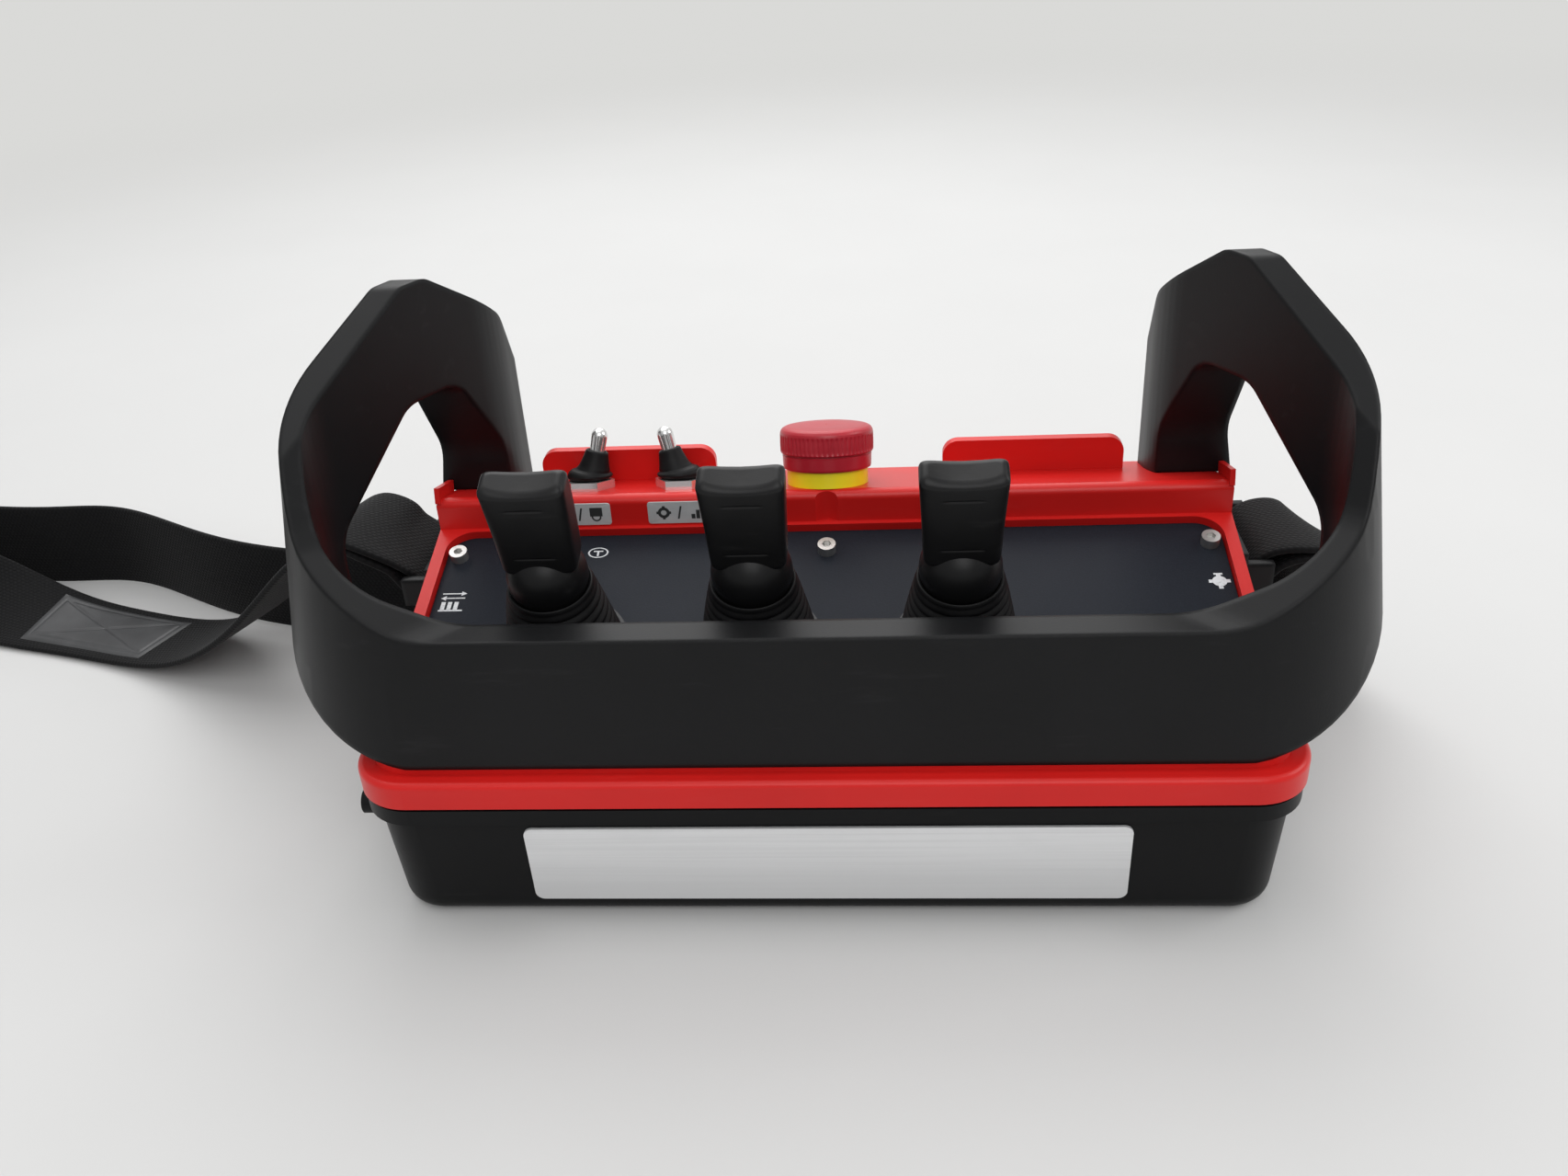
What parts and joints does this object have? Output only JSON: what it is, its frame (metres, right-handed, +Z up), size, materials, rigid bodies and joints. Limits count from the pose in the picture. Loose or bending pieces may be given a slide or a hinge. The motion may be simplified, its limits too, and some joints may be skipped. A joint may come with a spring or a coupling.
{
  "type": "joystick radio remote control",
  "caption": "Shoulder-strap radio remote control: a case with a sloping panel of spring-return paddle levers, toggle switches and an emergency stop inside a moulded guard hoop.",
  "frame": {"origin": "centre of the case's flat underside, on the surface it rests on", "axes": "+X across the case to the right seen from the name plate, +Y from the name plate towards the operator's console, +Z up"},
  "size_m": [0.5817, 0.2122, 0.1585],
  "materials": {
    "case_plastic": "moulded, fine texture",
    "cover_plastic": "satin red moulding",
    "guard_plastic": "grained black moulding",
    "seal_rubber": "soft black",
    "panel_film": "printed film, dark blue grey",
    "boot_rubber": "soft black",
    "paddle_plastic": "satin black",
    "steel": "plain",
    "inner_plastic": "plain",
    "chrome": "polished",
    "stop_red": "shiny red",
    "stop_yellow": "shiny yellow",
    "board": "green resin board",
    "battery_wrap": "shrink wrap",
    "webbing": "woven black nylon",
    "plate": "bare satin plate"
  },
  "bodies": {
    "case": {"tub": "case_plastic", "cover": "cover_plastic", "gasket": "seal_rubber", "control_panel": "panel_film", "panel_screws": "steel", "guard": "guard_plastic", "guard_screws": "steel", "boot_1": "boot_rubber", "boot_2": "boot_rubber", "boot_3": "boot_rubber", "boot_collars": "inner_plastic", "gimbal_cases": "inner_plastic", "pivot_pins": "steel", "return_springs": "steel", "sensor_cards": "board", "toggle_boot_1": "boot_rubber", "toggle_boot_2": "boot_rubber", "toggle_switches": "inner_plastic", "toggle_nuts": "chrome", "estop_ring": "stop_yellow", "estop_block": "inner_plastic", "estop_nut": "inner_plastic", "button_switch": "inner_plastic", "case_screws": "steel", "radio_board": "board", "antenna": "inner_plastic", "battery_pack": "battery_wrap", "strap_lugs": "guard_plastic", "strap": "webbing", "name_plate": "plate"},
    "lever_1": {"paddle_1": "paddle_plastic", "shaft_1": "steel"},
    "lever_2": {"paddle_2": "paddle_plastic", "shaft_2": "steel"},
    "lever_3": {"paddle_3": "paddle_plastic", "shaft_3": "steel"},
    "toggle_1": {"toggle_bat_1": "chrome"},
    "toggle_2": {"toggle_bat_2": "chrome"},
    "stop_stem": {"estop_stem": "inner_plastic"},
    "stop_head": {"estop_head": "stop_red"},
    "button": {"side_button": "boot_rubber"}
  },
  "joints": [
    {"name": "lever_1_tilt", "type": "hinge", "parent": "case", "child": "lever_1", "pos_m": [-0.075, -0.01739, 0.0539], "axis": [1, 0, 0], "range_deg": [-20, 20], "stiffness_Nm_per_rad": 0.6, "deforming": ["boot_1"]},
    {"name": "lever_2_tilt", "type": "hinge", "parent": "case", "child": "lever_2", "pos_m": [-0.0185, -0.01739, 0.0539], "axis": [1, 0, 0], "range_deg": [-20, 20], "stiffness_Nm_per_rad": 0.6, "deforming": ["boot_2"]},
    {"name": "lever_3_tilt", "type": "hinge", "parent": "case", "child": "lever_3", "pos_m": [0.038, -0.01739, 0.0539], "axis": [1, 0, 0], "range_deg": [-20, 20], "stiffness_Nm_per_rad": 0.6, "deforming": ["boot_3"]},
    {"name": "toggle_1_throw", "type": "hinge", "parent": "case", "child": "toggle_1", "pos_m": [-0.0765, 0.03973, 0.08038], "axis": [0, 0.9659, -0.2588], "range_deg": [-26, 0], "deforming": ["toggle_boot_1"]},
    {"name": "toggle_2_throw", "type": "hinge", "parent": "case", "child": "toggle_2", "pos_m": [-0.0465, 0.03973, 0.08038], "axis": [0, 0.9659, -0.2588], "range_deg": [0, 26], "deforming": ["toggle_boot_2"]},
    {"name": "stop_press", "type": "slide", "parent": "case", "child": "stop_stem", "axis": [0, -0.2588, -0.9659], "range_m": [0, 0.004]},
    {"name": "stop_twist", "type": "hinge", "parent": "stop_stem", "child": "stop_head", "pos_m": [0, 0.04051, 0.08328], "axis": [0, 0.2588, 0.9659], "range_deg": [0, 30], "stiffness_Nm_per_rad": 0.05},
    {"name": "button_press", "type": "slide", "parent": "case", "child": "button", "axis": [1, 0, 0], "range_m": [0, 0.0016], "stiffness_N_per_m": 1500}
  ]
}
